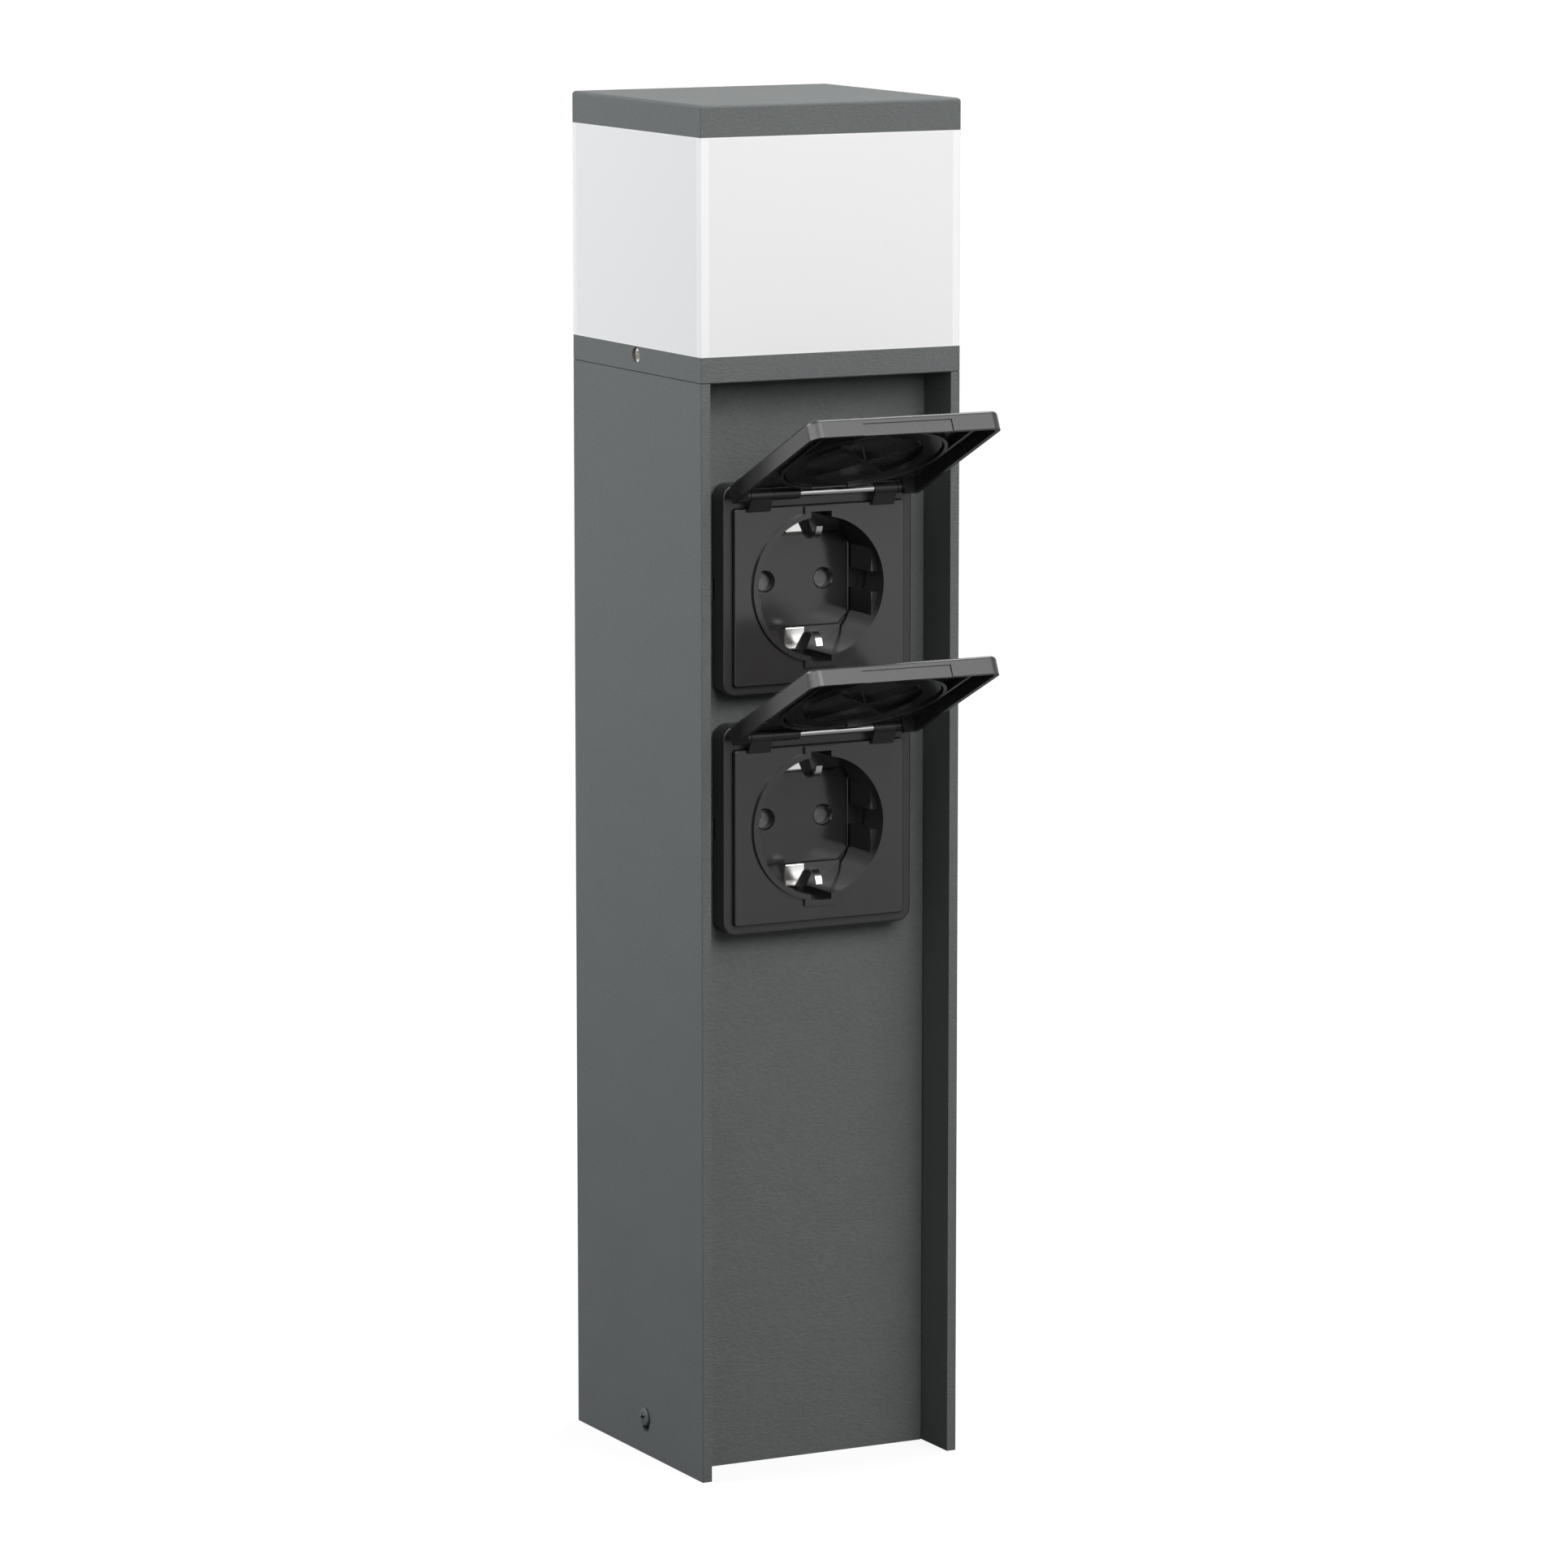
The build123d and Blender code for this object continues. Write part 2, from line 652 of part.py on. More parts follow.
    # Safety shutter: two pads behind the pin holes, joined behind the earth clip's strip
    with BuildPart() as shutter:
        with BuildSketch(face.offset(shutter_face)):
            with GridLocations(pin_spacing, 0, 2, 1):
                Rectangle(shutter_pad, shutter_pad)
        extrude(amount=-shutter_thickness)
        with BuildSketch(face.offset(bridge_face)):
            Rectangle(pin_spacing, shutter_bridge_height)
        extrude(amount=shutter_back - bridge_face)
    save(shutter.part, f"{name}_shutter")

    with BuildPart() as pin_contacts:
        with BuildSketch(face.offset(sleeve_face)):
            with GridLocations(pin_spacing, 0, 2, 1):
                Circle(sleeve_radius)
                Circle(sleeve_bore, mode=Mode.SUBTRACT)
            with GridLocations(pin_spacing, 2 * sleeve_radius, 2, 1):
                with Locations((0, sleeve_radius)):
                    Rectangle(sleeve_slit, sleeve_radius, mode=Mode.SUBTRACT)
        extrude(amount=-sleeve_length)
    save(pin_contacts.part, f"{name}_pin_contacts")

    # Steel plate behind the ribs and the screws that clamp bezel, gasket and panel
    with BuildPart() as mounting_plate:
        with BuildSketch(face.offset(clamp_face)):
            Rectangle(2 * (inner_half - 2 * fit_gap), mounting_plate_height)
            Circle(frame_hole_radius, mode=Mode.SUBTRACT)
            with Locations(*screw_places):
                Circle(screw_radius + screw_clearance, mode=Mode.SUBTRACT)
        extrude(amount=-mounting_plate_thickness)
    save(mounting_plate.part, f"{name}_mounting_plate")

    with BuildPart() as frame_screws:
        with BuildSketch(face.offset(clamp_back)):
            with Locations(*screw_places):
                Circle(screw_radius)
        extrude(amount=screw_length)
        with BuildSketch(face.offset(clamp_back)):
            with Locations(*screw_places):
                Circle(screw_head_radius)
        extrude(amount=-screw_head_height)
    save(frame_screws.part, f"{name}_frame_screws")

    # Hinge pin through both lugs, and the bush beside the left one
    with BuildPart() as hinge_pin:
        with BuildSketch(hinge):
            Circle(pin_radius)
        extrude(amount=knuckle_start + pin_seat - fit_gap, both=True)
    save(hinge_pin.part, f"{name}_hinge_pin")

    with BuildPart() as hinge_bush:
        with BuildSketch(hinge.offset(lug_inner - fit_gap)):
            Circle(barrel_radius)
            Circle(pin_radius + pin_play, mode=Mode.SUBTRACT)
        extrude(amount=-bush_length)
    save(hinge_bush.part, f"{name}_hinge_bush")

    # Lid, drawn in planes turned with it about the pin
    rise = radians(lid_open_angle - 90)
    along = Vector(0, -cos(rise), sin(rise))
    outward = Vector(0, sin(rise), cos(rise))
    lid_side = Plane(hinge.origin, x_dir=along, z_dir=(-1, 0, 0))
    lid_under = Plane(hinge.origin, x_dir=(1, 0, 0), z_dir=-outward)
    lid_end = Plane(hinge.origin + along * lid_length, x_dir=(1, 0, 0), z_dir=along)
    inner_half_width = lid_width / 2 - lid_wall
    inner_length = lid_length - lid_wall
    with BuildPart() as lid:
        with BuildSketch(lid_side):
            with BuildLine():
                Polyline(
                    (lid_foot, rim_level),
                    (lid_length, rim_level),
                    (lid_length, lid_top_height),
                    (lid_back, lid_top_height),
                    close=True,
                )
            profile = make_face()
            fillet(profile.vertices().sort_by(Axis.X)[0], lid_back_radius)
        extrude(amount=lid_width / 2, both=True)
        lid_axis = Axis(hinge.origin, along)
        outward_axis = Axis(hinge.origin, outward)
        fillet(lid.edges().filter_by(outward_axis).group_by(lid_axis)[-1], lid_corner_radius)
        skin = lid.faces().filter_by(outward_axis).sort_by(outward_axis)[-1]
        heel = lid.faces().filter_by(GeomType.CYLINDER).sort_by(lid_axis)[0]
        back = lid.faces().filter_by(GeomType.PLANE).sort_by(lid_axis)[0]
        sides = [e for f in (skin, heel, back) for e in f.edges().filter_by(Axis.X, reverse=True)]
        fillet(sides + [skin.edges().sort_by(lid_axis)[-1]], lid_edge_radius)
        with BuildSketch(lid_under.offset(-rim_level)):
            with Locations((0, (hollow_start + inner_length) / 2)):
                hollow = Rectangle(2 * inner_half_width, inner_length - hollow_start)
            fillet(hollow.vertices().group_by(Axis.Y)[-1], lid_corner_radius - lid_wall)
        extrude(amount=rim_level - skin_level, mode=Mode.SUBTRACT)
        lid_clear = lid_top_height + lid_wall
        with BuildSketch(lid_side):
            with BuildLine():
                Polyline(
                    (-lid_clear, -lid_clear),
                    (hollow_start, -lid_clear),
                    (hollow_start, skin_level),
                    (lid_edge_start, skin_level),
                    (lid_edge_start, lid_clear),
                    (-lid_clear, lid_clear),
                    close=True,
                )
            make_face()
        extrude(amount=hinge_block, both=True, mode=Mode.SUBTRACT)
        for side in (-1, 1):
            with BuildSketch(lid_side.offset(-side * knuckle_start)):
                Circle(barrel_radius)
            extrude(amount=-side * (inner_half_width - knuckle_start))
        with BuildSketch(lid_side):
            Circle(pin_radius + pin_play)
        extrude(amount=knuckle_start + pin_seat, both=True, mode=Mode.SUBTRACT)
        guard_level = plate_level + guard_gap
        rib_length = inner_length - hinge_height
        with BuildSketch(lid_under.offset(-guard_level)):
            with Locations((0, hinge_height)):
                Circle(guard_radius)
                Circle(guard_radius - guard_wall, mode=Mode.SUBTRACT)
                Rectangle(tab_width + 2 * guard_gap, 2 * lid_length, mode=Mode.SUBTRACT)
            with Locations((0, hinge_height + rib_length / 2)):
                with GridLocations(2 * guard_radius - guard_wall, 0, 2, 1):
                    Rectangle(guard_wall, rib_length)
        extrude(amount=guard_level - skin_level)
        with BuildSketch(lid_end):
            with Locations((0, rim_level)):
                Rectangle(finger_width, 2 * finger_height)
        extrude(amount=-finger_depth, mode=Mode.SUBTRACT)
    save(lid.part, f"{name}_lid")

    # Rubber seal inside the lid: a ring that meets the socket's rim, with a cross of ribs and a hub in it
    pad_level = rim_face - hinge_face + soft_gap
    pad_radius = guard_radius - guard_wall - guard_gap
    pad_plane = lid_under.offset(-skin_level)
    with BuildPart() as lid_gasket:
        with BuildSketch(pad_plane):
            with Locations((0, hinge_height)):
                Circle(pad_radius)
                Circle(pad_radius - pad_rim, mode=Mode.SUBTRACT)
        extrude(amount=skin_level - pad_level)
        with BuildSketch(pad_plane):
            with Locations((0, hinge_height)):
                Rectangle(pad_rib, 2 * (pad_radius - pad_rim), rotation=45)
                Rectangle(pad_rib, 2 * (pad_radius - pad_rim), rotation=-45)
                Circle(pad_hub_radius)
        extrude(amount=skin_level - pad_level + pad_rib_proud)
    save(lid_gasket.part, f"{name}_lid_gasket")
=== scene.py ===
import json
import math
import bpy
import numpy as np
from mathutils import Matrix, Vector


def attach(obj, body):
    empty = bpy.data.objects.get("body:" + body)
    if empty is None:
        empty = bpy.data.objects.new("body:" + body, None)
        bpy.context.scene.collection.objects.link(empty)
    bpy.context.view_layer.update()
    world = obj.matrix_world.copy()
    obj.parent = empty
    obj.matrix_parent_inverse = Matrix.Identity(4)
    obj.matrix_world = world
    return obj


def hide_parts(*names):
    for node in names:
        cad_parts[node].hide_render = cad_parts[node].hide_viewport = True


# Bollard light with two sockets: finishes, small screw heads, light and camera round the CAD frame.
# Metres; the camera stands in front and to the left, as in the photograph.

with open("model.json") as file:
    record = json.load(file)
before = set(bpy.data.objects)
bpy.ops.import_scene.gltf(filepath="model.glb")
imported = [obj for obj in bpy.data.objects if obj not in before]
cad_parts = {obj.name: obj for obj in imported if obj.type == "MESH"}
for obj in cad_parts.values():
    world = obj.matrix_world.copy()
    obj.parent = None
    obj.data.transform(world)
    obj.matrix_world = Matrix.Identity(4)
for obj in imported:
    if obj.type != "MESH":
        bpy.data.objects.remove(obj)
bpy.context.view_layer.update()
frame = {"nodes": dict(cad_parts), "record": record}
nodes = frame["nodes"]


# Small helpers for node trees
def startMaterial(name):
    material = bpy.data.materials.new(name)
    material.use_nodes = True
    tree = material.node_tree
    shader = next(n for n in tree.nodes if n.type == "BSDF_PRINCIPLED")
    return material, tree, shader


# Object coordinates, pulled out along an axis by a small number
def objectPattern(tree, stretch=(1, 1, 1)):
    place = tree.nodes.new("ShaderNodeTexCoord")
    mapping = tree.nodes.new("ShaderNodeMapping")
    mapping.inputs["Scale"].default_value = stretch
    tree.links.new(place.outputs["Object"], mapping.inputs["Vector"])
    return mapping.outputs["Vector"]


def noise(tree, vector, scale, detail=2.0, rough=0.55):
    node = tree.nodes.new("ShaderNodeTexNoise")
    node.inputs["Scale"].default_value = scale
    node.inputs["Detail"].default_value = detail
    node.inputs["Roughness"].default_value = rough
    tree.links.new(vector, node.inputs["Vector"])
    return node.outputs["Fac"]


def spread(tree, value, low, high, toLow=0.3, toHigh=0.7):  # maps toLow..toHigh to low..high
    node = tree.nodes.new("ShaderNodeMapRange")
    for key, number in (("From Min", toLow), ("From Max", toHigh), ("To Min", low), ("To Max", high)):
        node.inputs[key].default_value = number
    tree.links.new(value, node.inputs["Value"])
    return node.outputs["Result"]


def mixColours(tree, factor, first, second):
    node = tree.nodes.new("ShaderNodeMix")
    node.data_type = "RGBA"
    node.inputs["A"].default_value = (*first, 1)
    node.inputs["B"].default_value = (*second, 1)
    tree.links.new(factor, node.inputs["Factor"])
    return node.outputs["Result"]


def math2(tree, operation, first, second=None):
    node = tree.nodes.new("ShaderNodeMath")
    node.operation = operation
    for socket, value in zip(node.inputs, (first, second)):
        if value is None:
            continue
        if isinstance(value, (int, float)):
            socket.default_value = value
        else:
            tree.links.new(value, socket)
    return node.outputs[0]


def addBump(tree, shader, height, distance):
    node = tree.nodes.new("ShaderNodeBump")
    node.inputs["Distance"].default_value = distance
    tree.links.new(height, node.inputs["Height"])
    tree.links.new(node.outputs["Normal"], shader.inputs["Normal"])


# Colour and its small change over the surface, gloss and its change, grain size per metre and depth
finishes = {
    "coat": {"colour": (0.1205, 0.1275, 0.1265), "change": 0.09, "rough": (0.49, 0.52), "metal": 0.0,
             "gloss": 0.14, "patch": 60, "grain": 950, "stretch": (0.7, 0.7, 1.4), "depth": 0.00028,
             "sideGrain": 0.15},
    "carrier_metal": {"colour": (0.60, 0.60, 0.61), "change": 0.08, "rough": (0.28, 0.38), "metal": 1.0,
                      "patch": 80, "grain": 900, "stretch": (1, 1, 1), "depth": 0.00001},
    "zinc_steel": {"colour": (0.55, 0.56, 0.57), "change": 0.16, "rough": (0.32, 0.48), "metal": 1.0,
                   "patch": 120, "grain": 700, "stretch": (1, 1, 1), "depth": 0.00002},
    "screw_steel": {"colour": (0.60, 0.60, 0.59), "change": 0.08, "rough": (0.22, 0.32), "metal": 1.0,
                    "patch": 300, "grain": 1500, "stretch": (1, 1, 1), "depth": 0.00001},
    "bright_screw": {"colour": (0.80, 0.78, 0.74), "change": 0.05, "rough": (0.14, 0.22), "metal": 1.0,
                     "patch": 300, "grain": 1800, "stretch": (1, 1, 1), "depth": 0.000005},
    "rubber": {"colour": (0.012, 0.012, 0.012), "change": 0.2, "rough": (0.50, 0.62), "metal": 0.0,
               "patch": 150, "grain": 1600, "stretch": (1, 1, 1), "depth": 0.00002},
    "pad_rubber": {"colour": (0.012, 0.012, 0.012), "change": 0.06, "rough": (0.17, 0.19), "metal": 0.0,
                   "patch": 150, "grain": 1200, "stretch": (1, 1, 1), "depth": 0},
    "bezel_plastic": {"colour": (0.024, 0.0235, 0.024), "change": 0.05, "rough": (0.28, 0.31), "metal": 0.0,
                      "patch": 150, "grain": 2600, "stretch": (1, 1, 1), "depth": 0},
    "insert_plastic": {"colour": (0.0255, 0.0235, 0.0245), "change": 0.05, "rough": (0.145, 0.165),
                       "metal": 0.0, "gloss": 0.68, "patch": 150, "grain": 1600, "stretch": (1, 1, 1),
                       "depth": 0},
    "lid_plastic": {"colour": (0.028, 0.0275, 0.028), "change": 0.05, "rough": (0.26, 0.28), "metal": 0.0,
                    "patch": 150, "grain": 2400, "stretch": (1, 1, 1), "depth": 0},
    "pin_steel": {"colour": (0.72, 0.72, 0.71), "change": 0.05, "rough": (0.14, 0.18), "metal": 1.0,
                  "patch": 250, "grain": 1800, "stretch": (0.2, 1, 1), "depth": 0},
    "clip_metal": {"colour": (0.90, 0.89, 0.87), "change": 0.04, "rough": (0.22, 0.26), "metal": 1.0,
                   "patch": 300, "grain": 1500, "stretch": (1, 1, 0.3), "depth": 0},
    "brass": {"colour": (0.72, 0.52, 0.22), "change": 0.10, "rough": (0.20, 0.32), "metal": 1.0,
              "patch": 300, "grain": 1500, "stretch": (1, 1, 1), "depth": 0.00001},
    "block_plastic": {"colour": (0.30, 0.30, 0.29), "change": 0.06, "rough": (0.38, 0.48), "metal": 0.0,
                      "patch": 150, "grain": 1800, "stretch": (1, 1, 1), "depth": 0.00001},
    "shutter_plastic": {"colour": (0.16, 0.16, 0.16), "change": 0.05, "rough": (0.22, 0.30), "metal": 0.0,
                        "patch": 200, "grain": 1800, "stretch": (1, 1, 1), "depth": 0},
    "driver_case": {"colour": (0.62, 0.62, 0.60), "change": 0.05, "rough": (0.38, 0.48), "metal": 0.0,
                    "patch": 120, "grain": 1800, "stretch": (1, 1, 1), "depth": 0.00001},
    "board": {"colour": (0.70, 0.70, 0.68), "change": 0.06, "rough": (0.35, 0.45), "metal": 0.0,
              "patch": 120, "grain": 1800, "stretch": (1, 1, 1), "depth": 0.00001},
    "led": {"colour": (0.78, 0.62, 0.16), "change": 0.08, "rough": (0.20, 0.30), "metal": 0.0,
            "patch": 400, "grain": 1800, "stretch": (1, 1, 1), "depth": 0.00001},
}
# The grain's part in the colour with and without bump, its noise, and where it fades on side faces
grainLook = {"grainyShare": 0.75, "smoothShare": 0.1,
             "detail": 4.0, "rough": 0.6, "sideFrom": (0.2, 0.9), "usualGloss": 0.5}


def makeFinish(name, look):  # slow patches change colour and gloss, fine grain gives the bump
    material, tree, shader = startMaterial(name)
    vector = objectPattern(tree, look["stretch"])
    patches = noise(tree, vector, look["patch"])
    grain = noise(tree, vector, look["grain"], grainLook["detail"], grainLook["rough"])
    darker = tuple(c * (1 - look["change"]) for c in look["colour"])
    lighter = tuple(c * (1 + look["change"]) for c in look["colour"])
    share = grainLook["grainyShare" if look["depth"] else "smoothShare"]
    slowPart = math2(tree, "MULTIPLY", patches, 1 - share)
    both = math2(tree, "ADD", slowPart, math2(tree, "MULTIPLY", grain, share))
    tree.links.new(mixColours(tree, spread(tree, both, 0, 1), darker, lighter), shader.inputs["Base Color"])
    tree.links.new(spread(tree, patches, *look["rough"]), shader.inputs["Roughness"])
    shader.inputs["Metallic"].default_value = look["metal"]
    shader.inputs["Specular IOR Level"].default_value = look.get("gloss", grainLook["usualGloss"])
    if "sideGrain" in look:  # the grain shows less on faces that look left or right
        facing = tree.nodes.new("ShaderNodeSeparateXYZ")
        tree.links.new(tree.nodes.new("ShaderNodeTexCoord").outputs["Normal"], facing.inputs["Vector"])
        sideways = math2(tree, "ABSOLUTE", facing.outputs["X"])
        kept = spread(tree, sideways, 1, look["sideGrain"], *grainLook["sideFrom"])
        grain = math2(tree, "MULTIPLY", grain, kept)
    if look["depth"]:
        addBump(tree, shader, grain, look["depth"])
    return material


# sheet colour, and the lighter colour of the painted glow at wall ends and rims
opal = {"colour": (0.765, 0.765, 0.765), "edge": (0.84, 0.84, 0.84), "rough": 0.28,
        "wallFrom": 0.0392, "wallTo": 0.0396,  # where the far wall's end shows through, painted as a lighter glow band
        "bottom": 0.3285, "top": 0.3908, "lip": 0.0005, "patch": 40, "change": 0.01}


def makeOpal(look):  # milky sheet with painted light: a lighter glow painted where a wall stands behind its end and along both rims, where light pipes through the acrylic, and random clouds of tone
    material, tree, shader = startMaterial("opal")
    vector = objectPattern(tree)
    axes = tree.nodes.new("ShaderNodeSeparateXYZ")
    tree.links.new(vector, axes.inputs["Vector"])
    x, y, z = axes.outputs
    # painted glow: a lighter band beside the vertical joins of the walls, where the far wall's end shows
    # through
    wallEndGlow = math2(tree, "MINIMUM", math2(tree, "ABSOLUTE", x), math2(tree, "ABSOLUTE", y))
    wallEndGlow = spread(tree, wallEndGlow, 0, 1, look["wallFrom"], look["wallTo"])
    toTop = math2(tree, "SUBTRACT", look["top"], z)
    toBottom = math2(tree, "SUBTRACT", z, look["bottom"])
    # painted glow: a lighter band along the top and bottom rims
    lip = spread(tree, math2(tree, "MINIMUM", toTop, toBottom), 1, 0, 0.0, look["lip"])
    glowAndTone = math2(tree, "MAXIMUM", wallEndGlow, lip)
    cloud = spread(tree, noise(tree, vector, look["patch"]), 0, look["change"])
    # random clouds of tone, added to the painted glow
    glowAndTone = math2(tree, "ADD", glowAndTone, cloud)
    tree.links.new(mixColours(tree, glowAndTone, look["colour"], look["edge"]), shader.inputs["Base Color"])
    shader.inputs["Roughness"].default_value = look["rough"]
    return material


paints = {name: makeFinish(name, look) for name, look in finishes.items()}
paints["opal"] = makeOpal(opal)
paints["coated_screw"] = paints["coat"]
print("finishes:", len(paints))

slotOf = {row["node"]: row["material_slot"] for row in frame["record"]["subparts"]}
ownPaint = {"upper_lid_gasket": "pad_rubber", "lower_lid_gasket": "pad_rubber"}
for nodeName, node in nodes.items():
    paint = paints[ownPaint.get(nodeName, slotOf[nodeName])]
    if node.material_slots:
        for slot in node.material_slots:
            slot.material = paint
    else:
        node.data.materials.append(paint)
print("painted the CAD nodes")


# Foot screws: where the right one stands, its head and shank, and the cross in the head
footScrew = {"place": (0.042, -0.0045, 0.0114), "radius": 0.00265, "height": 0.0013, "dome": 0.0005,
             "crownShare": 0.86, "cornerFrom": 0.15, "cornerLow": 0.55, "cornerDrop": 0.00002,
             "cornerRings": 9, "centre": 0.00003, "shankRadius": 0.0019, "shankLength": 0.008,
             "tipRadius": 0.0004, "crossReach": 0.0017, "crossWidth": 0.00042, "crossTip": 0.55,
             "crossEdge": 0.00008, "crossRise": 2.2, "crossDepth": 0.0011, "turn": 18,
             "rings": 44, "steps": 128}


def closedTurning(name, radii, heights, steps, lift):
    # A profile (radius, height) turned round the local Z axis; lift(x, y) lowers the top rings.
    # x = radius cos(angle), y = radius sin(angle), z = height + lift(x, y)
    angles = np.linspace(0, 2 * math.pi, steps, endpoint=False)
    x = radii[:, None] * np.cos(angles)
    y = radii[:, None] * np.sin(angles)
    z = np.repeat(heights[:, None], steps, 1) + lift(x, y)
    rings = np.stack([x, y, z], -1).reshape(-1, 3)
    top = np.array([[0, 0, heights[0] + lift(np.zeros(1), np.zeros(1))[0]]])
    bottom = np.array([[0, 0, heights[-1]]])
    points = np.concatenate([rings, top, bottom])
    ring = np.arange(len(radii) - 1)[:, None] * steps
    step = np.arange(steps)[None, :]
    after = (step + 1) % steps
    quads = np.stack([ring + step, ring + steps + step, ring + steps + after, ring + after], -1)
    last = (len(radii) - 1) * steps
    topPole, bottomPole = len(rings), len(rings) + 1
    topFan = [(topPole, a, b) for a, b in zip(step[0].tolist(), after[0].tolist())]
    bottomFan = [(bottomPole, last + b, last + a) for a, b in zip(step[0].tolist(), after[0].tolist())]
    mesh = bpy.data.meshes.new(name)
    mesh.from_pydata(points.tolist(), [], quads.reshape(-1, 4).tolist() + topFan + bottomFan)
    mesh.validate()
    return mesh, points


def crossRecess(look):  # depth of a cross whose arms narrow and rise towards their ends
    turn = math.radians(look["turn"])

    def lift(x, y):
        u = x * math.cos(turn) + y * math.sin(turn)
        v = -x * math.sin(turn) + y * math.cos(turn)
        depth = np.zeros_like(x)
        for along, across in ((u, v), (v, u)):
            reach = np.clip(1 - np.abs(along) / look["crossReach"], 0, 1)
            halfWidth = look["crossWidth"] * (look["crossTip"] + (1 - look["crossTip"]) * reach)
            inside = np.clip((halfWidth - np.abs(across)) / look["crossEdge"], 0, 1)
            sunk = inside * np.clip(reach * look["crossRise"], 0, 1)
            depth = np.maximum(depth, sunk * look["crossDepth"])
        return -depth

    return lift


def makeFootScrews(look):
    radius, crownShare, low = look["radius"], look["crownShare"], look["cornerLow"]
    inner = look["centre"] + radius * crownShare * np.linspace(0, 1, look["rings"])
    crown = look["height"] - look["dome"] * (inner / radius) ** 2
    cornerTurn = np.linspace(look["cornerFrom"], 1, look["cornerRings"]) * math.pi / 2
    cornerR = radius * (crownShare + (1 - crownShare) * np.sin(cornerTurn))
    cornerZ = crown[-1] * (low + (1 - low) * np.cos(cornerTurn)) - look["cornerDrop"]
    radii = np.concatenate([inner, cornerR, [radius], [look["shankRadius"]] * 2, [look["tipRadius"]]])
    heights = np.concatenate([crown, cornerZ, [0, 0, -look["shankLength"], -look["shankLength"]]])
    cross = crossRecess(look)

    def lift(x, y):  # only the crown has the recess
        if x.ndim == 1:
            return cross(x, y)
        top = np.zeros_like(x)
        top[:len(inner)] = cross(x, y)[:len(inner)]
        return top * (np.hypot(x, y) < look["crossReach"])

    faces, vertices = [], []
    for side in (-1, 1):
        mesh, points = closedTurning("screwHead", radii, heights, look["steps"], lift)
        x, y, z = points.T
        out, along, up = look["place"]
        placed = np.stack([side * (out + z), along + x, up + side * y], -1)
        start = len(vertices)
        vertices += placed.tolist()
        faces += [[start + i for i in poly.vertices] for poly in mesh.polygons]
        bpy.data.meshes.remove(mesh)
    mesh = bpy.data.meshes.new("footScrewHeads")
    mesh.from_pydata(vertices, [], faces)
    mesh.polygons.foreach_set("use_smooth", np.ones(len(faces), bool))
    piece = bpy.data.objects.new("footScrewHeads", mesh)
    bpy.context.scene.collection.objects.link(piece)
    mesh.materials.append(paints["coat"])
    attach(piece, "post")
    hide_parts("foot_screws")


makeFootScrews(footScrew)
print("foot screws: cross recess")


# The floor glows for the camera, and more with the distance as the lamps fade; gloss sees it dimmer
# close by. The world is background low down and overhead high up for camera and gloss, else ambient.
stageLook = {"floorSize": 60.0, "floorColour": (0.15, 0.15, 0.15),
             "whiten": (0.86, 1.0), "whitenFrom": (0.3, 1.4),
             "gloss": (0.04, 1.0), "glossFrom": (0.4, 2.0),
             "ambient": 0.15, "background": 1.0, "overhead": 0.35, "overheadFrom": (0.1, 0.6)}
lampTarget = (0, 0, 0.22)
lamps = {  # the panel is for reflections alone
    "front": {"towards": (0.035, -0.88, 0.47), "distance": 1.0, "size": (0.56, 0.52), "power": 5.6},
    "frontRight": {"towards": (0.44, -0.69, 0.57), "distance": 1.5, "size": (0.9, 0.7), "power": 6.0},
    "frontAbove": {"towards": (0.0, -0.50, 0.866), "distance": 1.3, "size": (0.8, 0.6), "power": 4.0},
    "leftBack": {"towards": (-0.770, 0.359, 0.50), "distance": 1.25, "size": (0.8, 0.8), "power": 14.2,
                 "colour": (0.975, 1.0, 1.015)},
    "above": {"towards": (0.42, 0.15, 0.89), "distance": 1.5, "size": (0.7, 0.7), "power": 13.5},
    "leftPanel": {"towards": (-0.71, -0.50, 0.50), "distance": 1.5, "size": (2.4, 0.6), "power": 19.0,
                  "glossOnly": True},
}
cameraLook = {"target": (0.00628, 0.0, 0.19675), "turn": 27.2948, "tilt": 8.9548, "distance": 2.0388,
              "lens": 158.478, "sensor": 36.0}


def seenRays(tree):  # 1 for rays from the camera, from gloss and through glass
    path = tree.nodes.new("ShaderNodeLightPath")
    seen = math2(tree, "MAXIMUM", path.outputs["Is Camera Ray"], path.outputs["Is Glossy Ray"])
    return math2(tree, "MAXIMUM", seen, path.outputs["Is Transmission Ray"])


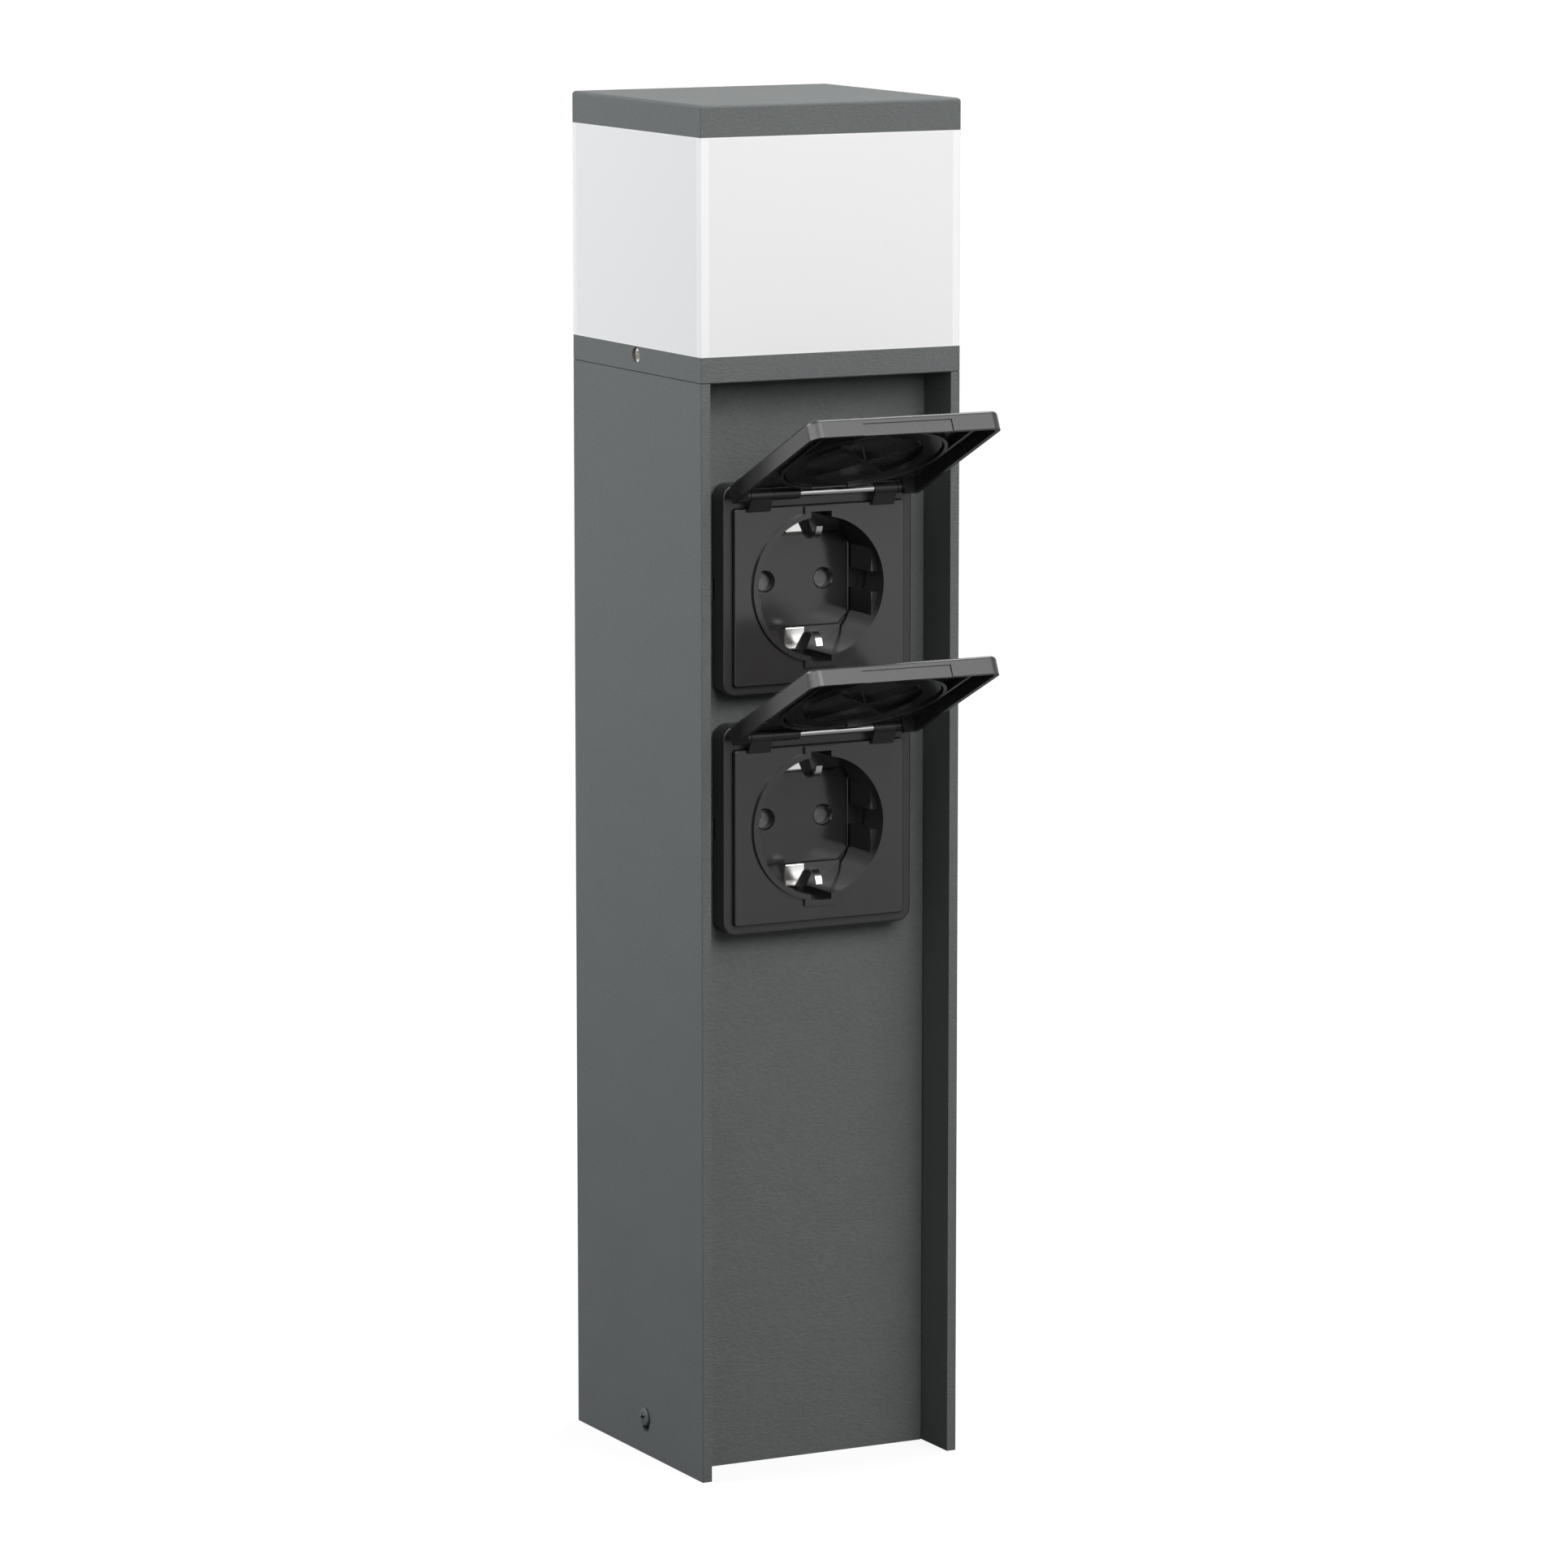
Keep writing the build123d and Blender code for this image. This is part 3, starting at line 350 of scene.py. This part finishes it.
def makeStage(look):
    mesh = bpy.data.meshes.new("studioFloor")
    h = look["floorSize"] / 2
    mesh.from_pydata([(-h, -h, 0), (h, -h, 0), (h, h, 0), (-h, h, 0)], [], [(0, 1, 2, 3)])
    floor = bpy.data.objects.new("studioFloor", mesh)
    bpy.context.scene.collection.objects.link(floor)
    material = bpy.data.materials.new("floorPaint")
    material.use_nodes = True
    tree = material.node_tree
    tree.nodes.clear()
    matt = tree.nodes.new("ShaderNodeBsdfDiffuse")
    matt.inputs["Color"].default_value = (*look["floorColour"], 1)
    glow = tree.nodes.new("ShaderNodeEmission")
    both = tree.nodes.new("ShaderNodeAddShader")
    out = tree.nodes.new("ShaderNodeOutputMaterial")
    place = tree.nodes.new("ShaderNodeTexCoord")
    reach = tree.nodes.new("ShaderNodeVectorMath")
    reach.operation = "LENGTH"
    tree.links.new(place.outputs["Object"], reach.inputs[0])
    far = reach.outputs["Value"]
    whiter = spread(tree, far, *look["whiten"], *look["whitenFrom"])
    seen = spread(tree, far, *look["gloss"], *look["glossFrom"])
    toCamera = tree.nodes.new("ShaderNodeLightPath").outputs["Is Camera Ray"]
    share = math2(tree, "MAXIMUM", toCamera, math2(tree, "MULTIPLY", seenRays(tree), seen))
    tree.links.new(math2(tree, "MULTIPLY", share, whiter), glow.inputs["Strength"])
    tree.links.new(matt.outputs[0], both.inputs[0])
    tree.links.new(glow.outputs[0], both.inputs[1])
    tree.links.new(both.outputs[0], out.inputs["Surface"])
    mesh.materials.append(material)

    world = bpy.data.worlds.new("studio")
    bpy.context.scene.world = world
    world.use_nodes = True
    tree = world.node_tree
    sky = next(n for n in tree.nodes if n.type == "BACKGROUND")
    sky.inputs["Color"].default_value = (1, 1, 1, 1)
    place = tree.nodes.new("ShaderNodeTexCoord")
    axes = tree.nodes.new("ShaderNodeSeparateXYZ")
    tree.links.new(place.outputs["Generated"], axes.inputs["Vector"])
    seen = spread(tree, axes.outputs["Z"], look["background"], look["overhead"],
                  *look["overheadFrom"])
    far = math2(tree, "MULTIPLY", seenRays(tree), math2(tree, "SUBTRACT", seen, look["ambient"]))
    tree.links.new(math2(tree, "ADD", far, look["ambient"]), sky.inputs["Strength"])


def makeLamps(lamps):
    for name, look in lamps.items():
        data = bpy.data.lights.new(name, "AREA")
        data.shape = "RECTANGLE"
        data.size, data.size_y = look["size"]
        data.energy = look["power"]
        data.color = look.get("colour", (1, 1, 1))
        lamp = bpy.data.objects.new(name, data)
        towards = Vector(look["towards"]).normalized()
        lamp.location = Vector(lampTarget) + towards * look["distance"]
        lamp.rotation_euler = towards.to_track_quat("Z", "Y").to_euler()
        lamp.visible_diffuse = not look.get("glossOnly", False)
        bpy.context.scene.collection.objects.link(lamp)


def makeCamera(look):
    turn, tilt = math.radians(look["turn"]), math.radians(look["tilt"])
    back = Vector((-math.sin(turn) * math.cos(tilt), -math.cos(turn) * math.cos(tilt), math.sin(tilt)))
    data = bpy.data.cameras.new("photoCamera")
    data.lens, data.sensor_width = look["lens"], look["sensor"]
    camera = bpy.data.objects.new("photoCamera", data)
    camera.location = Vector(look["target"]) + back * look["distance"]
    camera.rotation_euler = back.to_track_quat("Z", "Y").to_euler()
    bpy.context.scene.collection.objects.link(camera)
    bpy.context.scene.camera = camera


makeStage(stageLook)
makeLamps(lamps)
makeCamera(cameraLook)
bpy.context.scene.view_settings.view_transform = "Standard"
print("floor, lamps and camera")
